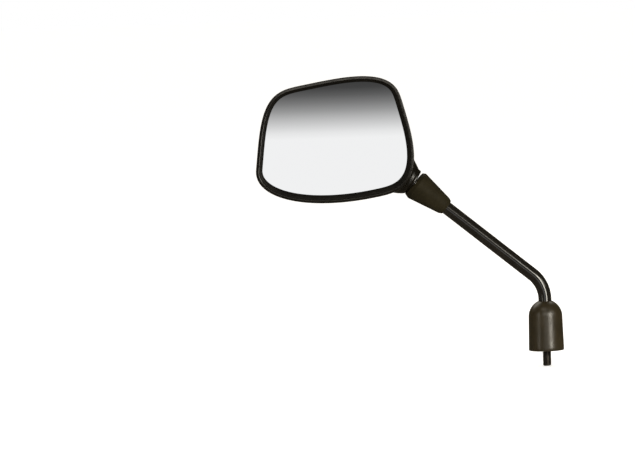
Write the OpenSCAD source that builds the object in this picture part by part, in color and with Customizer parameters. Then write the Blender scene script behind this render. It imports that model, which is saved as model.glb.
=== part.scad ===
// Motorcycle mirror on a bent stem, glass facing -Y, threaded stud pointing down.
// The origin is on the stud's axis, at the seat of the hex adapter. +Z is up.

/* [Stem] */
// Diameter of the stem rod
stem_d = 12; // [10:0.5:13]
// Height above the seat at which the two straight centre lines of the stem cross
bend_z = 61.6; // [58:0.1:80]
// Radius of the bend, on the centre line
bend_r = 30; // [24:1:34]
// Rise of the upper run of the stem above the level
stem_rise = 39.8; // [25:0.1:60]
// Length from the crossing of the centre lines to the centre of the ball
stem_run = 164.3; // [130:0.1:220]
// Diameter of the threaded lower end of the stem
stem_thread_d = 10; // [8:0.5:10]
// Chamfer on the upper end of the stem
stem_chamfer = 0.6; // [0.2:0.1:1]

/* [Ball joint] */
// Diameter of the ball
ball_d = 18; // [16:0.5:20]
// Diameter of the shank below the ball
shank_d = 10; // [8:0.5:11]
// Distance from the ball's centre to the end face of the stem
shank_run = 21; // [19:0.5:26]
// Diameter of the spigot pressed into the stem
spigot_d = 7.5; // [6:0.5:8]
// Length of the spigot
spigot_len = 17; // [12:0.5:24]
// Diameter of the cross pin that locks the spigot
pin_d = 3; // [2:0.5:4]
// Wall of the two nylon liners round the ball
liner_wall = 1.4; // [1:0.1:2]
// Angle from the stem's axis at which the ring liner starts
ring_from_angle = 42; // [40:1:50]
// Angle from the stem's axis at which the ring liner ends
ring_to_angle = 84; // [78:1:86]
// Angle from the ball's top down to the edge of the cap liner
cap_to_angle = 62; // [45:1:66]
// Swing of the shank that the neck's mouth leaves free to each side
swing = 20; // [14:1:22]
// Depth of the floor of the pressure cup
cup_floor = 2.2; // [1.5:0.1:4]
// Outer diameter of the disc spring
spring_d = 19; // [16:0.5:20]
// Thickness of the disc spring
spring_t = 1; // [0.6:0.1:1.5]
// Height of the disc spring's cone
spring_rise = 0.7; // [0.4:0.1:1]
// Thickness of the thrust washer on the disc spring
thrust_t = 1.2; // [0.8:0.1:2]
// Height of the clamp nut that loads the spring
clamp_h = 4.5; // [3.5:0.1:6]
// Width across the flats of the clamp nut's key hole
clamp_key = 10; // [8:0.5:13]
// Wall of the socket round the ball joint
socket_wall = 3; // [2.4:0.1:3.6]

/* [Head outline] */
// Width of the squared outline along its top edge
head_top_w = 121; // [110:0.5:135]
// Width of the squared outline along its bottom edge
head_bottom_w = 165.5; // [155:0.5:175]
// Height of the squared outline
head_h = 114.6; // [105:0.1:125]
// Shift of the top edge towards the neck
head_shift = 11.6; // [0:0.1:16]
// Squareness of the upper corner beside the neck, 2 is round
square_top_near = 3.15; // [2:0.05:5]
// Squareness of the lower corner at the neck
square_low_near = 3.05; // [2:0.05:5]
// Squareness of the lower outer corner
square_low_far = 2; // [2:0.05:5]
// Squareness of the upper outer corner
square_top_far = 4.05; // [2:0.05:5]
// Where the outline touches its top edge, as a part of the edge
touch_top = 0.34; // [0.3:0.01:0.6]
// Where the outline touches its near side edge
touch_near = 0.3; // [0.3:0.01:0.6]
// Where the outline touches its bottom edge
touch_low = 0.3; // [0.3:0.01:0.6]
// Where the outline touches its far side edge
touch_far = 0.41; // [0.3:0.01:0.6]
// Distance of the ball inwards from the near edge of the squared outline
ball_inset_near = 20.25; // [18:0.05:24]
// Distance of the ball inwards from the low edge of the squared outline
ball_inset_low = 14.2; // [12:0.1:18]
// Roll of the head about its depth axis
head_roll = 9.75; // [0:0.25:14]

/* [Housing] */
// Distance from the rim's front face back to the ball's centre
rim_to_ball = 23; // [22:0.1:26]
// Wall of the housing
housing_wall = 2.5; // [2:0.1:3.5]
// Width of the rim's front face
rim_w = 3; // [2.4:0.1:4]
// Radius rounded off the rim's outer edge
rim_round = 1.2; // [0.6:0.1:1.6]
// Depth of the upright side wall behind the rim
side_depth = 9; // [9:0.5:12]
// Depth of the shelf that carries the backing plate
shelf_depth = 8; // [7.5:0.1:8.5]
// Depth at the outer end of the ridge
ridge_far_depth = 33; // [30:0.5:38]
// Depth of the ridge where it turns down and beside the neck
ridge_near_depth = 40; // [38:0.5:43]
// Half length of the level part of the ridge
ridge_half = 40; // [30:1:45]
// Height of the ridge below the outline's centre
ridge_drop = 22; // [16:0.5:26]
// Fullness of the upper part of the back
full_high = 2.5; // [2:0.05:3]
// Fullness of the side beside the neck
full_near = 3.2; // [2:0.05:4]
// Fullness of the part below the ridge
full_low = 1.45; // [1.3:0.05:2]
// Angle of the neck's axis below the head's level line
neck_drop = 45.3; // [42:0.1:49]
// Distance from the ball to the neck's flat mouth
neck_reach = 10.8; // [10:0.1:11.5]
// Half width of the neck's mouth
neck_half = 13.2; // [12.5:0.1:14]
// Half depth of the neck's mouth
neck_deep = 13; // [12.5:0.1:13.5]
// Shift of the neck's outside towards its lower side
neck_shift = 1.6; // [0:0.1:2]
// Flare of the neck to each side, as it runs into the housing
neck_flare = 25; // [15:1:28]
// Radius of the posts that carry the backing plate
post_r = 3.6; // [3:0.1:5]
// Thickness of the ribs inside the housing
rib_t = 1.8; // [1.2:0.1:2.5]

/* [Glass] */
// Radius of the glass's convex face
glass_curve = 1400; // [1000:50:2000]
// Thickness of the glass
glass_t = 2; // [1.8:0.1:3]
// Depth of the middle of the glass's face behind the rim's front
glass_depth = 1.1; // [0.8:0.1:1.4]
// Width of the rubber lip that shows round the glass
lip_w = 2.7; // [2:0.1:4]
// Height by which the glass sits above the middle of the rim
glass_lift = 1; // [0:0.1:1.5]
// Thickness of the foam pad behind the glass
pad_t = 1; // [0.8:0.1:2]
// Thickness of the backing plate
plate_t = 2; // [1.5:0.1:2.5]

/* [Boot] */
// Largest radius of the boot, behind its bevelled mouth
boot_mouth_r = 13.9; // [13:0.1:15]
// Radius of the boot's mouth in front of the bevel
boot_lip_r = 12.2; // [11.5:0.1:12.6]
// Radius of the boot at the stem
boot_stem_r = 8.5; // [7.6:0.1:10]
// Distance from the ball's centre to the boot's lower end
boot_end = 50; // [44:0.5:60]
// Distance from the ball's centre to the hollow face of the boot's mouth
boot_mouth_reach = 17.6; // [17.3:0.1:18]
// Wall of the boot's skirt
boot_wall = 2.2; // [1.6:0.1:3]
// Length over which the boot grips the stem
boot_grip = 20; // [14:0.5:24]
// Angle by which the boot sags to the lower side of the stem
boot_sag = 1.5; // [0:0.1:2]

/* [Base] */
// Width across the flats of the adapter and the lock nut
hex_flats = 17; // [15:0.5:19]
// Height of the hex body of the adapter
adapter_h = 18; // [14:0.5:20]
// Diameter of the mounting stud
stud_d = 8; // [6:0.5:10]
// Length of the mounting stud
stud_len = 14; // [10:0.5:30]
// Height of the lock nut
nut_h = 8; // [6:0.5:9]
// Thickness of the spring washer
washer_t = 2.2; // [1.6:0.1:3]
// Outer diameter of the spring washer
washer_d = 16.6; // [15:0.1:18]

/* [Nut cover] */
// Diameter of the cover at its shoulder
cover_top_d = 31; // [29:0.5:34]
// Diameter of the cover at its lower edge
cover_low_d = 32.4; // [31:0.1:36]
// Height of the shoulder above the seat
shoulder_z = 31.5; // [29.5:0.5:34]
// Wall of the cover
cover_wall = 2.2; // [1.6:0.1:3]
// Length of the hole that grips the stem
cover_grip = 5; // [3:0.5:7]

/* [Fits] */
// Radial clearance of the sliding and turning fits
fit = 0.05; // [0.03:0.01:0.1]
// Clearance beside parts that never move on each other
seat_gap = 0.1; // [0.05:0.01:0.2]

/* [Hidden] */
$fn = 96;

// How far a cutting tool runs past the face that it opens
past = 1;
// Points on each quarter of the head's outline
quarter_points = 16;

ball_r = ball_d / 2;
stem_r = stem_d / 2;
shank_r = shank_d / 2;
bend_tangent = bend_r * tan((90 - stem_rise) / 2);
ball_x = -stem_run * cos(stem_rise);
ball_z = bend_z + stem_run * sin(stem_rise);
// Place of the outline's centre, from the ball away from the stem and up
head_reach = head_bottom_w / 2 - ball_inset_near;
head_lift = head_h / 2 - ball_inset_low;
liner_in_r = ball_r + fit;
liner_out_r = liner_in_r + liner_wall;
socket_r = liner_out_r + fit;

// Heights along the neck's axis, inwards from the ball's centre
cup_r = socket_r + 0.6;
cup_from = 0.6;
cup_top = socket_r + cup_floor;
bore_r = cup_r + seat_gap;
thrust_from = cup_top + spring_t + spring_rise;
clamp_from = thrust_from + thrust_t;
clamp_top = clamp_from + clamp_h;

// Depths behind the rim's front face
glass_inset = rim_w + lip_w;
lip_cover = 1.2;
shelf_w = 1.4;
gasket_front = 0.2;
pad_front = glass_depth + glass_t;
plate_front = pad_front + pad_t;
plate_back = plate_front + plate_t;
// Gap that keeps the pad clear of the domed faces on both sides of it
layer_gap = 0.02;
plate_screw_r = 1.5;
plate_screw_head_r = 2.8;
plate_screw_head_h = 1.4;
plate_screw_len = 11;
// Middle of each backing plate post, from the outline's centre
post_places = [
    [-0.35 * head_top_w, 0.28 * head_h],
    [0.41 * head_top_w, 0.28 * head_h],
    [-0.32 * head_bottom_w, -0.19 * head_h],
    [0.085 * head_bottom_w, -0.365 * head_h]
];

// Heights of the pieces on the stem's threaded end
washer_z = adapter_h;
nut_z = washer_z + washer_t;
thread_top = nut_z + nut_h + 4;
thread_from = 5;

// Point of a squared quarter turn of unit reach
function quarter(t, n) =
    let (c = cos(t), s = sin(t))
    [c, s] / pow(pow(c, n) + pow(s, n), 1 / n);

// Corners of the squared outline, clockwise from the upper outer one
head_corners = [
    [-head_top_w / 2 + head_shift, head_h / 2],
    [head_top_w / 2 + head_shift, head_h / 2],
    [head_bottom_w / 2, -head_h / 2],
    [-head_bottom_w / 2, -head_h / 2]
];
touches = [touch_top, touch_near, touch_low, touch_far];
squareness = [square_top_near, square_low_near, square_low_far, square_top_far];
function touch_point(i) =
    let (a = head_corners[i % 4], b = head_corners[(i + 1) % 4])
    a + (b - a) * touches[i % 4];

outline_points = [
    for (i = [0:3])
        let (
            a = touch_point(i),
            b = touch_point(i + 1),
            o = a + b - head_corners[(i + 1) % 4]
        )
        for (k = [0:quarter_points - 1])
            let (q = quarter(90 * k / quarter_points, squareness[i]))
            o + (a - o) * q.x + (b - o) * q.y
];
outline_count = len(outline_points);

// Point i of the outline, moved inwards by a distance
function inset_point(i, d) =
    let (
        p = outline_points[i],
        t = outline_points[(i + 1) % outline_count]
            - outline_points[(i + outline_count - 1) % outline_count]
    )
    p + d * [t.y, -t.x] / norm(t);
function inset_outline(d) = [for (i = [0:outline_count - 1]) inset_point(i, d)];

// The ridge along the back runs level from its outer end, then turns down to the ball
ridge_a = [-ridge_half, -ridge_drop - 3];
ridge_b = [ridge_half, -ridge_drop + 1];
ridge_c = [head_reach - 4.5, -head_lift + 5];
function smooth(x) = let (t = max(0, min(1, x))) t * t * (3 - 2 * t);
// Place on the ridge that an outline point leads to: 0 at a, 1 at b, 2 at c
function ridge_place(p) =
    let (
        level = (p.x - ridge_a.x) / (ridge_b.x - ridge_a.x),
        down = 1 + (p.x - ridge_b.x) / (ridge_c.x - ridge_b.x),
        near = 1 + smooth((0.05 * head_h - p.y) / (0.36 * head_h))
    )
    max(0, min(level < 1 ? level : down, near));
function ridge_point(k) =
    k < 1 ? ridge_a + (ridge_b - ridge_a) * k : ridge_b + (ridge_c - ridge_b) * (k - 1);
function ridge_depth(k) =
    ridge_far_depth + (ridge_near_depth - ridge_far_depth) * min(1, k);
function fullness(p) =
    let (
        high = full_high + (full_near - full_high) * smooth((p.x - 0.3 * head_bottom_w) / 20)
    )
    full_low + (high - full_low) * smooth((p.y + 0.44 * head_h) / (0.34 * head_h));
// Share of the full depth at part s of the way from the side wall to the ridge
function swell(s, n) = pow(1 - pow(1 - s, n), 1 / n);

// One ring of the housing's surface, s of the way in from the rim inset by d
function back_ring(d, s, wall) = [
    for (i = [0:outline_count - 1])
        let (
            p = inset_point(i, d),
            k = ridge_place(p),
            q = p + (ridge_point(k) - p) * s,
            v = side_depth + (ridge_depth(k) - wall - side_depth) * swell(s, fullness(p))
        )
        [q.x, v, q.y]
];
function flat_ring(d, v) = [for (p = inset_outline(d)) [p.x, v, p.y]];

// Closed skin over rings that run from the front to the back, with a point at the back
module skin(rings, tip) {
    n = len(rings[0]);
    last = len(rings) - 1;
    points = [for (r = rings) each r, tip];
    front = [[for (i = [0:n - 1]) i]];
    sides = [
        for (k = [0:last - 1])
            for (i = [0:n - 1])
                let (a = k * n + i, b = k * n + (i + 1) % n)
                each [[a, b + n, b], [a, a + n, b + n]]
    ];
    back = [for (i = [0:n - 1]) [last * n + i, len(points) - 1, last * n + (i + 1) % n]];
    polyhedron(points, concat(front, sides, back), convexity = 4);
}

// Shares of the way in from the side wall to the ridge at which the back has a ring
stations = [0.03, 0.08, 0.16, 0.28, 0.45, 0.65, 0.85, 0.96];
function back_tip(wall) = [ridge_b.x, ridge_near_depth - wall, ridge_b.y];

module housing_skin() {
    draft = 0.6;
    rings = concat(
        [
            flat_ring(rim_round, 0),
            flat_ring(rim_round * 0.3, rim_round * 0.3),
            flat_ring(0, rim_round),
            flat_ring(draft, side_depth)
        ],
        [for (s = stations) back_ring(draft, s, 0)]
    );
    skin(rings, back_tip(0));
}

module housing_cavity() {
    bay = rim_w;
    shelf = rim_w + shelf_w;
    rings = concat(
        [
            flat_ring(bay, -past),
            flat_ring(bay, shelf_depth),
            flat_ring(shelf, shelf_depth + 0.01),
            flat_ring(shelf, side_depth + 0.5)
        ],
        [for (s = stations) back_ring(shelf, s, housing_wall)]
    );
    skin(rings, back_tip(housing_wall));
}

// Prism over the outline inset by d, from depth a to depth b behind the rim's front
module outline_prism(d, a, b) {
    translate([0, b, 0])
        rotate([90, 0, 0])
            linear_extrude(b - a)
                polygon(inset_outline(d));
}

// Places: the stud stands at the origin, the ball at the stem's upper end
module at_ball() {
    translate([ball_x, 0, ball_z]) children();
}
// Ball's centre at the origin, +Z down along the stem
module along_stem() {
    at_ball() rotate([0, 90 + stem_rise, 0]) children();
}
// Ball's centre at the origin, rolled with the head
module in_head() {
    at_ball() rotate([0, -head_roll, 0]) children();
}
// Ball's centre at the origin, +Z out through the neck's mouth
module along_neck() {
    in_head() rotate([0, 90 + neck_drop, 0]) children();
}
// Outline's centre at the origin, Y measured back from the rim's front face
module at_rim() {
    in_head() translate([-head_reach, -rim_to_ball, head_lift]) children();
}

// Part of a spherical shell between two angles from +Z
module shell_zone(r_in, r_out, from, to) {
    reach = 2 * r_out;
    steps = 12;
    wedge = concat(
        [[0, 0]],
        [for (k = [0:steps]) let (a = from + (to - from) * k / steps) reach * [sin(a), cos(a)]]
    );
    intersection() {
        difference() {
            sphere(r_out);
            sphere(r_in);
        }
        rotate_extrude()
            polygon(wedge);
    }
}

module hex_prism(flats, h) {
    cylinder(h = h, d = flats / cos(30), $fn = 6);
}

// Hex blank with its corners turned off at both ends
module turned_hex(flats, h) {
    corner_r = flats / 2 / cos(30);
    turn = corner_r - flats / 2;
    intersection() {
        hex_prism(flats, h);
        rotate_extrude()
            polygon([
                [0, 0], [flats / 2, 0], [corner_r, turn * 0.6],
                [corner_r, h - turn * 0.6], [flats / 2, h], [0, h]
            ]);
    }
}

module adapter() {
    chamfer = 1;
    color("dimgray")
        difference() {
            union() {
                turned_hex(hex_flats, adapter_h);
                translate([0, 0, -stud_len + chamfer])
                    cylinder(h = stud_len - chamfer, d = stud_d);
                translate([0, 0, -stud_len])
                    cylinder(h = chamfer, d1 = stud_d - 2 * chamfer, d2 = stud_d);
            }
            translate([0, 0, thread_from - 1])
                cylinder(h = adapter_h, d = stem_thread_d + 2 * fit);
        }
}

module spring_washer() {
    split_w = 1.2;
    color("silver")
        translate([0, 0, washer_z])
            difference() {
                cylinder(h = washer_t, d = washer_d);
                translate([0, 0, -past])
                    cylinder(h = washer_t + 2 * past, d = stem_thread_d + 4 * seat_gap);
                rotate([0, 0, 30])
                    translate([0, -split_w / 2, -past])
                        cube([washer_d, split_w, washer_t + 2 * past]);
            }
}

module lock_nut() {
    color("silver")
        translate([0, 0, nut_z])
            difference() {
                turned_hex(hex_flats, nut_h);
                translate([0, 0, -past])
                    cylinder(h = nut_h + 2 * past, d = stem_thread_d + 2 * fit);
            }
}

module stem() {
    bend_from = bend_z - bend_tangent;
    chamfer = 1;
    // The rod thins by this much where it is bent
    thinning = 0.01;
    color([0.06, 0.06, 0.06])
        difference() {
            union() {
                translate([0, 0, thread_from + chamfer])
                    cylinder(h = thread_top - thread_from - chamfer, d = stem_thread_d);
                translate([0, 0, thread_from])
                    cylinder(h = chamfer, d1 = stem_thread_d - 2 * chamfer, d2 = stem_thread_d);
                translate([0, 0, thread_top])
                    cylinder(h = bend_from - thread_top, r = stem_r);
                translate([-bend_r, 0, bend_from])
                    rotate([90, 0, 0])
                        rotate_extrude(angle = 90 - stem_rise)
                            translate([bend_r, 0])
                                circle(stem_r - thinning);
                along_stem()
                    translate([0, 0, shank_run + stem_chamfer])
                        cylinder(h = stem_run - bend_tangent - shank_run - stem_chamfer, r = stem_r);
                along_stem()
                    translate([0, 0, shank_run])
                        cylinder(h = stem_chamfer, r1 = stem_r - stem_chamfer, r2 = stem_r);
            }
            along_stem()
                translate([0, 0, shank_run - past])
                    cylinder(h = spigot_len + past + 1, d = spigot_d + 2 * fit);
            pin_hole();
        }
}

module at_pin() {
    along_stem()
        translate([0, 0, shank_run + spigot_len / 2])
            rotate([90, 0, 0])
                children();
}

module pin_hole() {
    at_pin() cylinder(h = 2 * stem_d, d = pin_d + 2 * fit, center = true);
}

module cross_pin() {
    color("silver")
        at_pin() cylinder(h = stem_d - 1, d = pin_d, center = true);
}

module ball_stud() {
    color("gainsboro")
        difference() {
            along_stem() {
                sphere(ball_r);
                cylinder(h = shank_run, r = shank_r);
                cylinder(h = shank_run + spigot_len, d = spigot_d);
            }
            pin_hole();
        }
}

// Along the stem, tilted with the boot about the middle of its grip
module sagging() {
    pivot = boot_end - boot_grip / 2;
    along_stem()
        translate([0, 0, pivot])
            rotate([0, -boot_sag, 0])
                translate([0, 0, -pivot])
                    children();
}

module boot() {
    lip_z = sqrt(boot_mouth_reach * boot_mouth_reach - boot_lip_r * boot_lip_r);
    brow_z = lip_z + 3.7;
    bevel = 3;
    start = lip_z - 4;
    grip_from = boot_end - boot_grip;
    skirt_in = boot_lip_r - boot_wall;
    color([0.13, 0.12, 0.1])
        difference() {
            sagging()
                rotate_extrude()
                    polygon([
                        [0, start],
                        [boot_lip_r, start],
                        [boot_lip_r, lip_z],
                        [boot_mouth_r, brow_z],
                        [boot_stem_r, boot_end - bevel],
                        [boot_stem_r - bevel / 2, boot_end],
                        [0, boot_end]
                    ]);
            sagging()
                rotate_extrude()
                    polygon([
                        [0, 0],
                        [skirt_in, 0],
                        [skirt_in, brow_z],
                        [stem_r + fit, grip_from],
                        [0, grip_from]
                    ]);
            along_stem() {
                sphere(boot_mouth_reach);
                cylinder(h = boot_end + boot_grip, r = stem_r + fit);
            }
        }
}

module nut_cover() {
    low_z = 0.3;
    top_r = cover_top_d / 2;
    low_r = cover_low_d / 2;
    steps = 14;
    hole_r = stem_r + fit;
    dome_end = asin(hole_r / top_r);
    dome = [
        for (k = [0:steps])
            let (a = 90 - (90 - dome_end) * k / steps)
            [top_r * sin(a), shoulder_z + top_r * cos(a)]
    ];
    inner_top = shoulder_z + top_r * cos(dome_end) - cover_grip;
    inner_r = top_r - cover_wall;
    color([0.25, 0.22, 0.19])
        rotate_extrude()
            polygon(concat(
                [
                    [low_r - cover_wall, low_z],
                    [low_r - 0.4, low_z],
                    [low_r, low_z + 0.4],
                    [top_r, shoulder_z - 1]
                ],
                dome,
                [
                    [hole_r, inner_top],
                    [inner_r * 0.62, inner_top],
                    [inner_r * 0.9, shoulder_z + 3],
                    [inner_r, shoulder_z - 4]
                ]
            ));
}

module ring_liner() {
    color("ivory")
        along_stem()
            shell_zone(liner_in_r, liner_out_r, ring_from_angle, ring_to_angle);
}

module cap_liner() {
    color("ivory")
        along_stem()
            rotate([180, 0, 0])
                shell_zone(liner_in_r, liner_out_r, 0, cap_to_angle);
}

// Solid that surrounds the ball joint inside the housing
module socket_body() {
    along_neck()
        translate([0, 0, -clamp_top])
            cylinder(h = clamp_top + 6, r = bore_r + socket_wall);
}

// Space for the ball, its liners and the pressure cup, open at both ends
module socket_space() {
    mouth_from = shank_r / cos(swing) + 0.3;
    far = neck_reach + 4;
    along_neck() {
        sphere(socket_r);
        translate([0, 0, -clamp_top - past])
            cylinder(h = clamp_top + past, r = bore_r);
        cylinder(h = far, r1 = mouth_from, r2 = mouth_from + far * tan(swing));
    }
}

// Outside of the neck: rings from its raised lip inwards, wider and deeper towards the housing
module neck_outside() {
    points_round = 32;
    squareness = 2.2;
    bevel = 1.4;
    lip_rise = 1.5;
    lip_half = 11.3;
    lip_shift = 0.3;
    back_limit = ridge_near_depth - rim_to_ball - 0.5;
    flare = tan(neck_flare);
    // Each row: height on the axis, shift, half width, half depth at the back and in front
    rows = [
        [neck_reach + lip_rise, lip_shift, lip_half, lip_half, lip_half],
        [neck_reach, neck_shift - bevel / 2, neck_half - bevel / 2, neck_deep - bevel, neck_deep - bevel],
        [neck_reach - bevel, neck_shift, neck_half, neck_deep, neck_deep],
        [neck_reach / 2, neck_shift, neck_half + flare * neck_reach / 2, neck_deep + 1.5, neck_deep + 0.2],
        [0, neck_shift, neck_half + flare * neck_reach, back_limit - 1, neck_deep + 0.4],
        [-neck_reach, neck_shift, neck_half + flare * neck_reach + 1, back_limit, neck_deep],
        [-1.5 * neck_reach, neck_shift, neck_half, back_limit - 1, neck_deep - 1]
    ];
    rings = [
        for (r = rows) [
            for (k = [0:points_round - 1])
                let (
                    t = -360 * k / points_round,
                    c = cos(t),
                    d = sin(t),
                    u = sign(c) * pow(abs(c), 2 / squareness),
                    v = sign(d) * pow(abs(d), 2 / squareness)
                )
                [r[1] + r[2] * u, (v > 0 ? r[3] : r[4]) * v, r[0]]
        ]
    ];
    along_neck()
        skin(rings, [0, 0, -2 * neck_reach]);
}

module housing() {
    color([0.16, 0.14, 0.11])
        difference() {
            union() {
                at_rim() housing_skin();
                neck_outside();
            }
            difference() {
                at_rim() housing_cavity();
                socket_body();
                at_rim() posts();
                at_rim() ribs();
            }
            socket_space();
            at_rim() post_pilots();
        }
}

// Depth at a place on a face that is domed like the glass
function domed_depth(p, depth) =
    let (q = p - [0, glass_lift])
    depth + (q * q) / (2 * glass_curve);

module posts() {
    intersection() {
        for (p = post_places)
            translate([p.x, 0, p.y])
                rotate([-90, 0, 0])
                    cylinder(h = ridge_near_depth, r = post_r);
        behind_dome(plate_back + seat_gap);
    }
}

module post_pilots() {
    for (p = post_places)
        translate([p.x, domed_depth(p, plate_front), p.y])
            rotate([-90, 0, 0])
                cylinder(h = plate_screw_len + 1, r = plate_screw_r + fit);
}

// Ribs that stiffen the back, each running up to the housing's wall
module ribs() {
    rib_front = side_depth + 7;
    rib_step = 0.18 * head_bottom_w;
    for (k = [-1:1])
        translate([k * rib_step - rib_t / 2, rib_front, -ridge_drop])
            cube([rib_t, ridge_near_depth, head_h * 0.55]);
}

module pressure_cup() {
    spot_r = spring_d / 4;
    color("lightgray")
        along_neck()
            difference() {
                translate([0, 0, -cup_top])
                    cylinder(h = cup_top - cup_from, r = cup_r);
                sphere(socket_r);
                translate([0, 0, -cup_top - past])
                    cylinder(h = past + 0.4, r = spot_r);
            }
}

module disc_spring() {
    hole_r = spring_d / 4;
    outer_r = spring_d / 2;
    color("slategray")
        along_neck()
            rotate([180, 0, 0])
                translate([0, 0, cup_top])
                    rotate_extrude()
                        polygon([
                            [outer_r, 0], [outer_r, spring_t],
                            [hole_r, spring_t + spring_rise], [hole_r, spring_rise]
                        ]);
}

module thrust_washer() {
    color("silver")
        along_neck()
            translate([0, 0, -clamp_from])
                difference() {
                    cylinder(h = thrust_t, r = cup_r);
                    translate([0, 0, -past])
                        cylinder(h = thrust_t + 2 * past, r = spring_d / 4);
                }
}

module clamp_nut() {
    chamfer = 0.8;
    color("dimgray")
        along_neck()
            translate([0, 0, -clamp_top])
                difference() {
                    union() {
                        cylinder(h = chamfer, r1 = cup_r - chamfer, r2 = cup_r);
                        translate([0, 0, chamfer])
                            cylinder(h = clamp_h - chamfer, r = cup_r);
                    }
                    translate([0, 0, -past])
                        hex_prism(clamp_key, clamp_h + 2 * past);
                }
}

// Cross recess cut into a screw head from its top face at z = 0
module cross_slot(half, deep) {
    slot_w = 0.9;
    for (turn = [0, 90])
        rotate([0, 0, turn])
            translate([-half, -slot_w / 2, -past])
                cube([2 * half, slot_w, deep + past]);
}

// All that lies behind a face domed like the glass, at a depth in its middle
module behind_dome(depth) {
    translate([0, glass_curve + glass_depth, glass_lift])
        rotate([90, 0, 0])
            sphere(glass_curve + glass_depth - depth, $fn = 360);
}

// A layer of the glass stack: the outline inset by d between two domed faces
module glass_layer(d, front, back) {
    difference() {
        intersection() {
            translate([0, 0, glass_lift])
                outline_prism(d, -past, 20);
            behind_dome(front);
        }
        behind_dome(back);
    }
}

module glass() {
    color("lightsteelblue")
        at_rim() glass_layer(glass_inset - lip_cover, glass_depth, pad_front);
}

module foam_pad() {
    color("darkslategray")
        at_rim() glass_layer(glass_inset + 2, pad_front + layer_gap, plate_front - layer_gap);
}

module backing_plate() {
    color([0.2, 0.2, 0.2])
        at_rim()
            difference() {
                glass_layer(glass_inset + 0.3, plate_front, plate_back);
                for (p = post_places)
                    translate([p.x, domed_depth(p, plate_front), p.y])
                        rotate([-90, 0, 0])
                            screw_hole();
            }
}

// Countersunk hole from a face at z = 0
module screw_hole() {
    gap = 2 * seat_gap;
    translate([0, 0, -past])
        cylinder(h = plate_t + 3 * past, r = plate_screw_r + gap);
    translate([0, 0, -past])
        cylinder(h = past, r = plate_screw_head_r + gap);
    cylinder(h = plate_screw_head_h, r1 = plate_screw_head_r + gap, r2 = plate_screw_r + gap);
}

module plate_screws() {
    sink = 0.15;
    tip = 1.5;
    color("gainsboro")
        at_rim()
            for (p = post_places)
                translate([p.x, domed_depth(p, plate_front) + sink, p.y])
                    rotate([-90, 0, 0]) {
                        difference() {
                            cylinder(h = plate_screw_head_h, r1 = plate_screw_head_r, r2 = plate_screw_r);
                            cross_slot(1.5, 0.9);
                        }
                        translate([0, 0, plate_screw_head_h])
                            cylinder(h = plate_screw_len - plate_screw_head_h - tip, r = plate_screw_r);
                        translate([0, 0, plate_screw_len - tip])
                            cylinder(h = tip, r1 = plate_screw_r, r2 = 0.5);
                    }
}

module gasket() {
    pocket = glass_inset - lip_cover - seat_gap;
    color([0.05, 0.05, 0.05])
        at_rim()
            difference() {
                outline_prism(rim_w + seat_gap, gasket_front, shelf_depth);
                translate([0, 0, glass_lift])
                    outline_prism(glass_inset, -past, shelf_depth);
                intersection() {
                    translate([0, 0, glass_lift])
                        outline_prism(pocket, -past, shelf_depth + past);
                    behind_dome(glass_depth);
                }
            }
}

adapter();
spring_washer();
stem();
lock_nut();
nut_cover();
ball_stud();
cross_pin();
boot();
ring_liner();
cap_liner();
housing();
pressure_cup();
disc_spring();
thrust_washer();
clamp_nut();
backing_plate();
plate_screws();
foam_pad();
glass();
gasket();
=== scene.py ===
import math

import bmesh
import bpy
import numpy as np
from mathutils import Matrix, Vector
from mathutils.bvhtree import BVHTree


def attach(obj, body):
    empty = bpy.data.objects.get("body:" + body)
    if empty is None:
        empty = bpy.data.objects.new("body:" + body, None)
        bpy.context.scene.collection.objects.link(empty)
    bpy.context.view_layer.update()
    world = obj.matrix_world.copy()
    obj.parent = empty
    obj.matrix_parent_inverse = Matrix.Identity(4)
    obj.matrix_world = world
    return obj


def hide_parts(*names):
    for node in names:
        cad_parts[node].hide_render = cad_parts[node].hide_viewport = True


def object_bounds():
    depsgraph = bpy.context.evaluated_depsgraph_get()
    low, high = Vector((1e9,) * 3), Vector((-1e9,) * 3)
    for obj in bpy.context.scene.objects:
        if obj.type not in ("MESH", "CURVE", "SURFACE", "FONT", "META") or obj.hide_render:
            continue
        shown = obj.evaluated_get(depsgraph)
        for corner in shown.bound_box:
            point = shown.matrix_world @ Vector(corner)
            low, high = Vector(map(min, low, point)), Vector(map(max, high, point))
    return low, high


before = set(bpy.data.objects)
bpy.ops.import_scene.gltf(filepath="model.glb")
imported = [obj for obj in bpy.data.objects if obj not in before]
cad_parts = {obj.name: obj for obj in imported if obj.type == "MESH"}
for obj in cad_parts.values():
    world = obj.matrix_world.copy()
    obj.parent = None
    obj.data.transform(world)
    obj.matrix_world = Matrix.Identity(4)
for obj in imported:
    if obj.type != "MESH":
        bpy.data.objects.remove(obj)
cad_bounds = [list(c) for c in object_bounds()]
MM = 0.001

# Places and main sizes, as in the solids
STEM_RISE = 39.8
STEM_RUN = 164.3
BEND_Z = 61.6
BEND_R = 30.0
STEM_R = 6.0
HEAD_ROLL = 9.75
NECK_DROP = 45.3
RIM_TO_BALL = 23.0
BALL = Vector(
    (
        -STEM_RUN * math.cos(math.radians(STEM_RISE)),
        0,
        BEND_Z + STEM_RUN * math.sin(math.radians(STEM_RISE)),
    )
)
AT_BALL = Matrix.Translation(BALL)
ALONG_STEM = AT_BALL @ Matrix.Rotation(math.radians(90 + STEM_RISE), 4, "Y")
IN_HEAD = AT_BALL @ Matrix.Rotation(math.radians(-HEAD_ROLL), 4, "Y")
ALONG_NECK = IN_HEAD @ Matrix.Rotation(math.radians(90 + NECK_DROP), 4, "Y")
AT_RIM = IN_HEAD @ Matrix.Translation((-62.5, -RIM_TO_BALL, 43.1))


# Mesh helpers
def apply(matrix, points):
    """Places an array of points by a matrix."""
    m = np.array(matrix)
    return np.asarray(points) @ m[:3, :3].T + m[:3, 3]


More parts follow.
